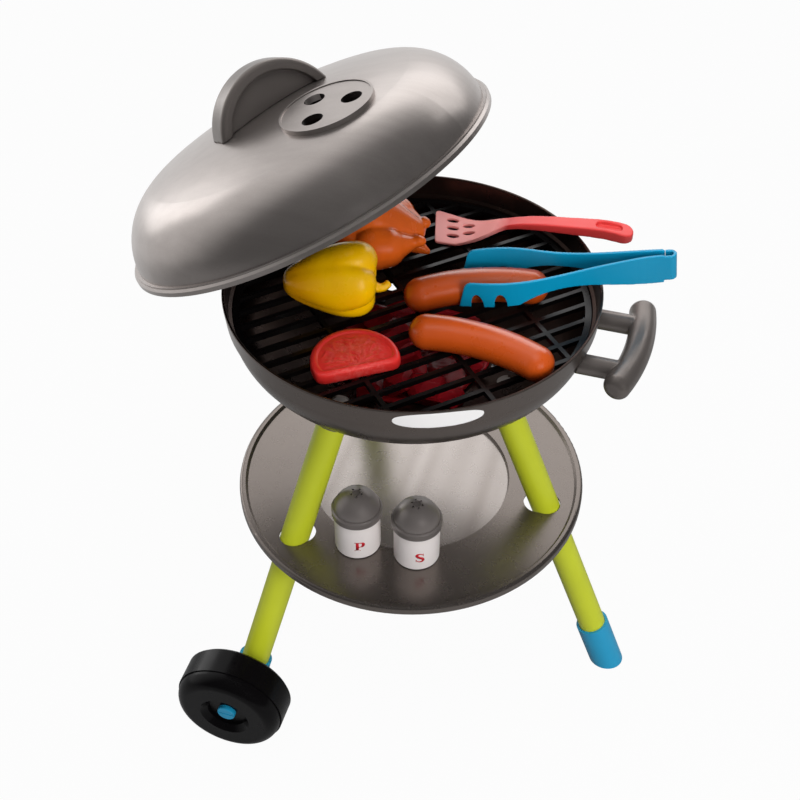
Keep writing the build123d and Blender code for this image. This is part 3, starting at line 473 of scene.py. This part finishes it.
def curve_points(points, steps):
    """Points on a smooth curve through the given ones."""
    ends = [points[0]] + list(points) + [points[-1]]
    line = []
    for i in range(1, len(ends) - 2):
        a, b, c, d = [Vector(p) for p in ends[i - 1:i + 3]]
        for k in range(steps):
            t = k / steps
            line.append(0.5 * ((2 * b) + (c - a) * t + (2 * a - 5 * b + 4 * c - d) * t**2
                               + (3 * b - a - 3 * c + d) * t**3))
    line.append(Vector(points[-1]))
    return line


def heading(line, k):
    """The direction of a line of points at one of them."""
    return (line[min(k + 1, len(line) - 1)] - line[max(k - 1, 0)]).normalized()


def skin_of_rings(rings, closed_end=True):
    """A mesh through rings of points, in millimetres, that all have the same count."""
    form = bmesh.new()
    rows = [[form.verts.new(Vector(p) * MM) for p in ring] for ring in rings]
    count = len(rows[0])
    for low, high in zip(rows, rows[1:]):
        for i in range(count):
            j = (i + 1) % count
            form.faces.new((low[i], low[j], high[j], high[i]))
    for row in (rows[0], rows[-1]) if closed_end else (rows[0],):
        middle = form.verts.new(sum((v.co for v in row), Vector()) / count)
        for i in range(count):
            form.faces.new((row[i], row[(i + 1) % count], middle))
    bmesh.ops.recalc_face_normals(form, faces=form.faces)
    return mesh_of(form, "skin")


# Embers: broken lumps on a thin sooty bed

EMBER_REACH = 93.0
LUMP_CORNERS = 17
LUMP_RADIUS = 19.0
LUMP_HALF_HEIGHT = 13.5
LUMP_MIDDLE = 11.0
BED_STEP = 4
BED_REACH = 76

# Each lump's place, as shares of the reach, and its size
EMBER_SHARES = (
    (-0.50, 0.36, 1.05), (-0.22, 0.14, 1.10), (-0.02, -0.06, 0.90), (0.50, 0.52, 0.95),
    (0.36, -0.60, 1.30), (0.06, -0.56, 1.15), (0.62, -0.66, 0.90), (0.20, -0.34, 0.90),
    (-0.36, 0.02, 0.80), (0.16, 0.36, 0.80), (-0.55, -0.50, 0.80), (0.74, -0.10, 0.75),
    (-0.25, -0.80, 0.75),
)


def bowl_floor(reach):
    """Height of the bowl's inner surface at a distance from its axis."""
    inner_round = BELLY_ROUND - BOWL_WALL
    return BELLY_TOP - (BELLY_DEPTH - BELLY_ROUND + math.sqrt(inner_round**2 - reach**2))


def ember_lump(draw, x, y, size):
    """The hull of random points round a squat ball, with worn edges."""
    middle = bowl_floor(math.hypot(x, y)) + LUMP_MIDDLE * size
    lump = bmesh.new()
    for _ in range(LUMP_CORNERS):
        turn = draw.uniform(0, 2 * math.pi)
        rise = draw.uniform(-0.8, 1.0)
        reach = LUMP_RADIUS * size * draw.uniform(0.86, 1.04) * math.sqrt(1 - rise * rise)
        corner = (x + reach * math.cos(turn), y + reach * math.sin(turn),
                  middle + LUMP_HALF_HEIGHT * size * rise)
        lump.verts.new(Vector(corner) * MM)
    keep_hull(lump)
    bmesh.ops.dissolve_limit(lump, angle_limit=math.radians(9), verts=lump.verts,
                             edges=lump.edges)
    bmesh.ops.bevel(lump, geom=lump.edges, offset=0.9 * MM, segments=2, profile=0.5,
                    affect="EDGES")
    return mesh_of(lump, "lump")


def make_ember_lumps():
    draw = random.Random(11)
    form = bmesh.new()
    for across, along, size in EMBER_SHARES:
        pour(ember_lump(draw, across * EMBER_REACH, along * EMBER_REACH, size), form)
    piece = new_piece("embers_form", mesh_of(form, "embers_form"), "ember_plastic", "stand",
                      "ember_plastic", smooth=False)
    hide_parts("embers")


def make_ember_bed():
    """A thin rough sheet on the bowl's floor: its top from the middle out, then its underside."""
    out = range(BED_STEP, BED_REACH + 1, BED_STEP)
    rings = []
    for top, reaches in ((3.0, out), (0.2, reversed(out))):
        for reach in reaches:
            ring = []
            for turn in turns(120):
                spot = Vector((reach * 0.11, math.cos(turn) * 4, math.sin(turn) * 4))
                rough = max(1.6 * noise.noise(spot), -1.2) if top > 1 else 0
                edge = reach * (1 + 0.03 * math.sin(7 * turn + 1) * (reach / BED_REACH))
                ring.append((edge * math.cos(turn), edge * math.sin(turn),
                             bowl_floor(reach) + top + rough))
            rings.append(ring)
    bed = new_piece("ember_bed", skin_of_rings(rings), "ember_plastic", "stand",
                    "ember_plastic")
    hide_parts("embers")


# Roast chicken: round limbs fused into one skin

def ball(form, centre, radius):
    """The corner points of a fine ball."""
    made = bmesh.ops.create_icosphere(form, subdivisions=3, radius=radius * MM)
    for vert in made["verts"]:
        vert.co += Vector(centre) * MM


def limb(target, start, end, first, last):
    """A round limb between two balls: their common hull."""
    form = bmesh.new()
    ball(form, start, first)
    ball(form, end, last)
    keep_hull(form)
    pour(mesh_of(form, "limb"), target)


def make_chicken():
    form = bmesh.new()
    # Body and back
    limb(form, (-13, 0, 33), (27, 1, 26), 32.5, 15.0)
    limb(form, (-24, 0, 44), (8, 0, 40), 21.0, 14.0)
    for side, spread, rise in ((-1, 29.0, 23.5), (1, 22.0, 27.0)):
        hip = (-3, side * spread, rise)
        thigh = (8, side * (spread - 1.5), rise + 0.5)
        knee = (28, side * (spread - 9), rise + 2)
        ankle = (38.5, side * (spread - 12), rise + 4)
        limb(form, hip, thigh, 23.0, 20.5)
        limb(form, thigh, knee, 18.5, 8.5)
        limb(form, knee, ankle, 7.2, 5.2)
        # The leg's knuckle
        limb(form, (38.5, side * (spread - 12), rise + 4.5),
             (40.5, side * (spread - 12.5), rise + 4), 6.0, 5.4)
        # The folded wing
        limb(form, (-40, side * 26, 33), (-20, side * 33, 29), 11.0, 8.5)
        limb(form, (-20, side * 33, 29), (-33, side * 34, 21), 8.0, 5.5)
    # Tail
    limb(form, (31, -5, 15), (46, -9, 10.5), 9.0, 3.2)
    mesh = mesh_of(form, "chicken_form")
    at_place(mesh, CHICKEN, GRATE_TOP)
    piece = evened("chicken_form", mesh, 1.1, 12, "chicken_plastic", "chicken")
    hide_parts("roast_chicken")


# Yellow pepper: lobed rings along its own axis, then a bent stem

PEPPER_HALF_LENGTH = 43
PEPPER_BACK = 1.1

# Places along the axis and radii
PEPPER_PROFILE = (
    (-42.5, 0.6), (-43.0, 3.6), (-42.0, 7.4), (-38.8, 11.8), (-32.0, 17.0), (-22.0, 22.6),
    (-9.0, 28.2), (6.0, 32.8), (18.5, 34.8), (28.5, 34.2), (35.5, 30.5), (39.5, 25.0),
    (41.0, 18.0), (38.5, 12.0), (33.5, 8.0), (31.5, 5.5),
)
STEM_PATH = ((30, 0, -3), (38, 0.0, -6.0), (45, -0.5, -9.0), (51, 1.0, -9.5), (56.0, 3.0, -6.5))
STEM_RADII = (10.5, 6.6, 4.6, 4.1, 3.7)


def pepper_body():
    """Four lobes that grow towards the stem, a little uneven all round."""
    rings = []
    for p in curve_points([(x, radius, 0) for x, radius in PEPPER_PROFILE], 5):
        along = (p.x + PEPPER_HALF_LENGTH) / (2 * PEPPER_HALF_LENGTH)
        crown = max(0.0, min(1.0, (along - 0.55) / 0.4))
        crown = crown * crown * (3 - 2 * crown)
        depth = 0.035 + 0.2 * crown + 0.08 * max(0.0, 0.25 - along)
        ring = []
        for angle in turns(108):
            lobe = abs(math.cos(2 * (angle + 0.3)))
            groove = (1 - lobe) ** 2.2
            back = math.cos(angle - PEPPER_BACK)
            uneven = 1 + 0.04 * back - 0.03 * math.cos(2 * angle + 0.4)
            spot = Vector((p.x * 0.04, math.cos(angle) * 1.3, math.sin(angle) * 1.3))
            reach = p.y * (1 - depth * groove) * uneven + 0.9 * noise.noise(spot)
            bulge = crown * (3.0 * lobe + 1.5 * back)
            ring.append((p.x + bulge, reach * math.cos(angle), reach * math.sin(angle)))
        rings.append(ring)
    return skin_of_rings(rings)


def pepper_stem():
    """A bent ribbed stem with a slightly rounded end."""
    path = curve_points(STEM_PATH, 8)
    widths = curve_points([(radius, 0, 0) for radius in STEM_RADII], 8)
    rings = []
    for k, p in enumerate(path):
        ahead = heading(path, k)
        side = ahead.cross(Vector((0, 0, 1))).normalized()
        up = side.cross(ahead)
        ring = []
        for angle in turns(30):
            rib = 1 + 0.09 * math.cos(5 * angle)
            out = side * math.cos(angle) + up * math.sin(angle)
            ring.append(p + out * widths[k].x * rib)
        rings.append(ring)
    tip = path[-1]
    ahead = (path[-1] - path[-2]).normalized()
    rings.append([tip + ahead * 0.8 + (q - tip) * 0.72 for q in rings[-1]])
    return skin_of_rings(rings)


def make_yellow_pepper():
    form = bmesh.new()
    pour(pepper_body(), form)
    pour(pepper_stem(), form)
    mesh = mesh_of(form, "pepper_form")
    low = min(v.co.z for v in mesh.vertices) / MM
    at_place(mesh, YELLOW_PEPPER, GRATE_TOP - low)
    piece = evened("pepper_form", mesh, 1.0, 5, "pepper_plastic", "yellow_pepper_food")
    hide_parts("yellow_pepper")


# Tomato slice: rings from the middle to the skin, with relief in the flesh

FLESH_INSET = 7.0
FLESH_CORNER = 4.0
FLESH_RINGS = 46
FLESH_DROP = 1.5

# Insets from the outline, corner radii and heights, over the wall's top and down the outside
TOMATO_WALL = (
    (6.2, 4.6, TOMATO_THICKNESS - 0.5), (5.4, 5.0, TOMATO_THICKNESS),
    (4.2, 5.5, TOMATO_THICKNESS + 0.15), (3.0, 5.8, TOMATO_THICKNESS),
    (1.6, 6.0, TOMATO_THICKNESS - 0.5), (0.6, 6.0, TOMATO_THICKNESS - 1.6),
    (0.0, 6.0, TOMATO_THICKNESS - 3.4), (0.0, 6.0, 3.5), (0.5, 6.0, 1.6), (1.6, 6.0, 0.5),
    (3.4, 6.0, 0.0),
)


def tomato_outline(inset, corner):
    """The slice's rounded outline, as points round its middle."""
    radius = TOMATO_RADIUS - inset
    chord = TOMATO_CHORD - inset
    middle = (radius - chord) / 2
    points = []
    for angle in turns(220):
        low, high = 0.0, radius * 1.2
        for _ in range(30):
            reach = (low + high) / 2
            x, y = reach * math.cos(angle), middle + reach * math.sin(angle)
            a = max(math.hypot(x, y) - (radius - corner), 0.0)
            b = max(-y - (chord - corner), 0.0)
            low, high = (reach, high) if math.hypot(a, b) < corner else (low, reach)
        points.append((reach * math.cos(angle), reach * math.sin(angle)))
    return points, middle


def flesh_relief(x, y, share):
    """Swirled threads that fade towards the wall and the slice's middle."""
    from_core = y + TOMATO_CHORD * 0.6
    swirl = noise.noise(Vector((x * 0.05, y * 0.05, 3.1))) * 1.6
    turn, far = math.atan2(from_core, x), math.hypot(x, from_core)
    thread = noise.noise(Vector((turn * 4.5 + swirl, far * 0.09 + swirl, 0.7)))
    fine = noise.noise(Vector((x * 0.16 + swirl, y * 0.16 - swirl, 9.3)))
    fade = min(1.0, (1 - share) * 5) * min(1.0, share * 3)
    return fade * (1.1 * (0.3 - abs(thread)) + 0.8 * (0.25 - abs(fine)))


def make_tomato():
    outline, middle = tomato_outline(FLESH_INSET, FLESH_CORNER)
    rings = []
    for share in [0.02] + [k / FLESH_RINGS for k in range(1, FLESH_RINGS + 1)]:
        ring = []
        for across, up in outline:
            x, y = share * across, middle + share * up
            relief = flesh_relief(x, y, share) if share > 0.04 else 0.0
            ring.append((x, y, TOMATO_THICKNESS - FLESH_DROP + relief))
        rings.append(ring)
    for inset, corner, height in TOMATO_WALL:
        outline, middle = tomato_outline(inset, corner)
        rings.append([(x, middle + y, height) for x, y in outline])
    mesh = skin_of_rings(rings)
    at_place(mesh, TOMATO, GRATE_TOP)
    piece = new_piece("tomato_form", mesh, "tomato_plastic", "tomato", "tomato_plastic")
    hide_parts("tomato_slice")


# Blank label on the bowl and letters on the shakers

LABEL_HALF_WIDTH = 40.0
LABEL_HALF_HEIGHT = 9.2
LABEL_TURN = -66.3
LABEL_HEIGHT = 495.3
LABEL_SQUARENESS = 2.4
LABEL_PROUD = 0.3
LABEL_EDGE_DROP = 0.12
LABEL_RINGS = 8
LETTER_SIZE = 12.5
LETTER_HEIGHT = 259.5
LETTER_PROUD = 0.12
LETTER_THICKNESS = 0.1


def make_label():
    """A bare sticker that follows the rim's slope, its edge a little lower than its middle."""
    rings = []
    for k in range(1, LABEL_RINGS + 1):
        share = k / LABEL_RINGS
        ring = []
        for angle in turns(96):
            across, up = math.cos(angle), math.sin(angle)
            power = LABEL_SQUARENESS
            full = (abs(across) ** power + abs(up) ** power) ** (-1 / power)
            x = LABEL_HALF_WIDTH * share * across * full
            z = LABEL_HEIGHT + LABEL_HALF_HEIGHT * share * up * full
            wall = RIM_FOOT_RADIUS + (z - RIM_FOOT) * RIM_SLOPE
            radius = wall + LABEL_PROUD - LABEL_EDGE_DROP * share**6
            turn = math.radians(LABEL_TURN) + x / radius
            ring.append((radius * math.cos(turn), radius * math.sin(turn), z))
        rings.append(ring)
    new_piece("blank_label", skin_of_rings(rings, closed_end=False), "label_plastic", "stand")


def ribbon(points, widths):
    """A stroke of changing width as pairs of points."""
    line = curve_points([(x, y, 0) for x, y in points], 10)
    wide = curve_points([(w, 0, 0) for w in widths], 10)
    pairs = []
    for k, p in enumerate(line):
        ahead = heading(line, k)
        side = Vector((-ahead.y, ahead.x, 0)) * wide[k].x / 2
        pairs.append((p + side, p - side))
    return pairs


def box_stroke(x0, x1, y0, y1):
    """A straight bar as pairs of points."""
    return [(Vector((x0, y, 0)), Vector((x1, y, 0))) for y in (y0, y1)]


def make_letter(name, strokes, shaker, azimuth, body):
    """A printed letter, wrapped on a shaker's side."""
    form = bmesh.new()
    radius = SHAKER_RADIUS + LETTER_PROUD
    for pairs in strokes:
        last = None
        for pair in pairs:
            row = []
            for p in pair:
                turn = math.radians(azimuth) + (p.x - 0.4) * LETTER_SIZE / radius
                co = (shaker[0] + radius * math.cos(turn), shaker[1] + radius * math.sin(turn),
                      LETTER_HEIGHT + (p.y - 0.5) * LETTER_SIZE)
                row.append(form.verts.new(Vector(co) * MM))
            if last:
                form.faces.new((last[0], last[1], row[1], row[0]))
            last = row
    piece = new_piece(name, mesh_of(form, name), "letter_plastic", body)
    ink = piece.modifiers.new("ink", "SOLIDIFY")
    ink.thickness = LETTER_THICKNESS * MM


def make_letters():
    """The strokes of P and S, drawn in a box of unit height."""
    bow = ribbon([(0.31, 0.965), (0.52, 0.955), (0.70, 0.87), (0.735, 0.72), (0.69, 0.56),
                  (0.52, 0.475), (0.31, 0.47)],
                 [0.08, 0.10, 0.22, 0.27, 0.22, 0.10, 0.08])
    p_strokes = [box_stroke(0.11, 0.36, 0.08, 0.92), box_stroke(0.0, 0.49, 0.0, 0.08),
                 box_stroke(0.0, 0.36, 0.92, 1.0), bow]
    make_letter("letter_p", p_strokes, PEPPER_SHAKER, -67.5, "pepper_shaker")
    spine = ribbon([(0.70, 0.78), (0.62, 0.90), (0.44, 0.965), (0.24, 0.90), (0.17, 0.75),
                    (0.27, 0.61), (0.44, 0.51), (0.61, 0.41), (0.70, 0.25), (0.62, 0.10),
                    (0.42, 0.035), (0.22, 0.10), (0.12, 0.24)],
                   [0.06, 0.08, 0.11, 0.18, 0.23, 0.26, 0.27, 0.26, 0.23, 0.18, 0.11, 0.08,
                    0.06])
    s_strokes = [spine, box_stroke(0.68, 0.73, 0.68, 0.99), box_stroke(0.09, 0.14, 0.01, 0.33)]
    make_letter("letter_s", s_strokes, SALT_SHAKER, -66.5, "salt_shaker")


# Skins over CAD nodes

GRIP_START = 0.062
GRIP_BLEND = 0.02


def make_spatula():
    """A soft skin whose grip is rounded much more than its thin blade."""
    piece = softened("spatula", 0.55, 3, "spatula_body")
    grip = piece.vertex_groups.new(name="grip")
    for vert in piece.data.vertices:
        share = min(1.0, max(0.0, (vert.co.x - GRIP_START) / GRIP_BLEND))
        if share > 0:
            grip.add([vert.index], share, "REPLACE")
    rounding(piece, 0.6, 26).vertex_group = "grip"
    settle(piece)


make_ember_lumps()
make_ember_bed()
make_chicken()
make_yellow_pepper()
make_tomato()
make_label()
make_letters()
make_spatula()
softened("tongs_front_arm", 0.5, 3, "tongs")
softened("tongs_back_arm", 0.5, 3, "tongs_far_arm")
softened("side_handle", 0.9, 4, "stand")
softened("lid_handle", 0.8, 4, "lid")


# Camera

camera_data = bpy.data.cameras.new("camera")
camera_data.lens = 56.759
camera_data.sensor_width = 36.0
camera = bpy.data.objects.new("camera", camera_data)
camera.location = (0.26311, -0.90563, 1.24480)
camera.rotation_euler = [math.radians(angle) for angle in (46.5175, 0.0747, 16.8476)]
bpy.context.collection.objects.link(camera)
bpy.context.scene.camera = camera


# Floor, lamps and surroundings

def make_floor():
    """A pale floor that camera rays see as white, and so do shiny surfaces behind the grill."""
    form = bmesh.new()
    bmesh.ops.create_grid(form, x_segments=24, y_segments=24, size=4.0)
    mesh = mesh_of(form, "floor")
    floor = bpy.data.objects.new("floor", mesh)
    bpy.context.collection.objects.link(floor)
    s = Shader("floor_white")
    rays = s.node("LightPath").outputs
    cloud = s.spread(s.noise(1.3, 2.0), 0.0, 1.0)
    s.set(Base_Color=s.blend(cloud, tone("8e8e8e"), tone("929292")), Roughness=0.9,
          Specular_IOR_Level=0.1)
    behind = s.spread(s.vector("DOT_PRODUCT", s.place, (-0.5, 0.8, 0.0)), 0.06, 1.0, 0.2, 0.9)
    shiny = s.maths("MULTIPLY", rays["Is Glossy Ray"], behind)
    seen = s.maths("MAXIMUM", rays["Is Camera Ray"], shiny)
    seen = s.maths("MAXIMUM", seen, rays["Is Transmission Ray"])
    glow = s.node("Emission")
    s.feed(glow.inputs["Color"], WHITE)
    s.feed(glow.inputs["Strength"], 1.0)
    mix = s.either(s.maths("MULTIPLY", seen, 0.965), s.surface.outputs["BSDF"],
                   glow.outputs["Emission"])
    s.feed(s.tree.nodes["Material Output"].inputs["Surface"], mix)
    mesh.materials.append(s.material)


def make_world():
    """A soft sky, with plain white behind it for camera rays."""
    world = bpy.data.worlds.new("studio")
    bpy.context.scene.world = world
    world.use_nodes = True
    w = Nodes(world.node_tree, "Generated")
    rays = w.node("LightPath").outputs
    sky = w.tree.nodes["Background"]
    w.feed(sky.inputs["Color"], (0.95, 0.97, 1.0, 1.0))
    w.feed(sky.inputs["Strength"], w.spread(w.axis("Z"), 0.12, 0.55, -0.1, 0.9))
    # Shiny surfaces see the white backdrop behind the grill and a dark room in front of it
    toward = w.vector("DOT_PRODUCT", w.place, (-0.7, 0.65, 0.0))
    mirrored = w.node("Background")
    w.feed(mirrored.inputs["Color"], WHITE)
    w.feed(mirrored.inputs["Strength"], w.spread(toward, 0.04, 1.0, 0.05, 0.6))
    white = w.node("Background")
    w.feed(white.inputs["Color"], WHITE)
    w.feed(white.inputs["Strength"], 1.0)
    seen = w.maths("MAXIMUM", rays["Is Camera Ray"], rays["Is Transmission Ray"])
    light = w.either(rays["Is Glossy Ray"], sky.outputs[0], mirrored.outputs[0])
    mix = w.either(seen, light, white.outputs[0])
    w.feed(w.tree.nodes["World Output"].inputs["Surface"], mix)


def lamp(name, place, target, size, power, mirrored):
    """A soft box light, which shiny surfaces show only where it is mirrored."""
    data = bpy.data.lights.new(name, "AREA")
    data.shape = "RECTANGLE"
    data.size, data.size_y = size
    data.energy = power
    light = bpy.data.objects.new(name, data)
    light.location = place
    direction = Vector(target) - Vector(place)
    light.rotation_euler = direction.to_track_quat("-Z", "Y").to_euler()
    light.visible_glossy = mirrored
    bpy.context.collection.objects.link(light)


make_floor()
make_world()
lamp("overhead", (0.0, -0.3, 2.3), (0.0, 0.0, 0.45), (1.2, 1.2), 26.0, mirrored=False)
lamp("back", (0.0, 1.9, 1.7), (0.0, 0.0, 0.5), (2.6, 1.3), 14.0, mirrored=True)
lamp("left", (-2.2, 0.9, 0.85), (0.0, 0.0, 0.6), (1.0, 1.3), 7.0, mirrored=True)
lamp("front", (1.3, -1.3, 1.1), (0.0, 0.0, 0.4), (0.9, 0.9), 25.0, mirrored=False)

bpy.context.scene.view_settings.view_transform = "Standard"
bpy.context.view_layer.update()
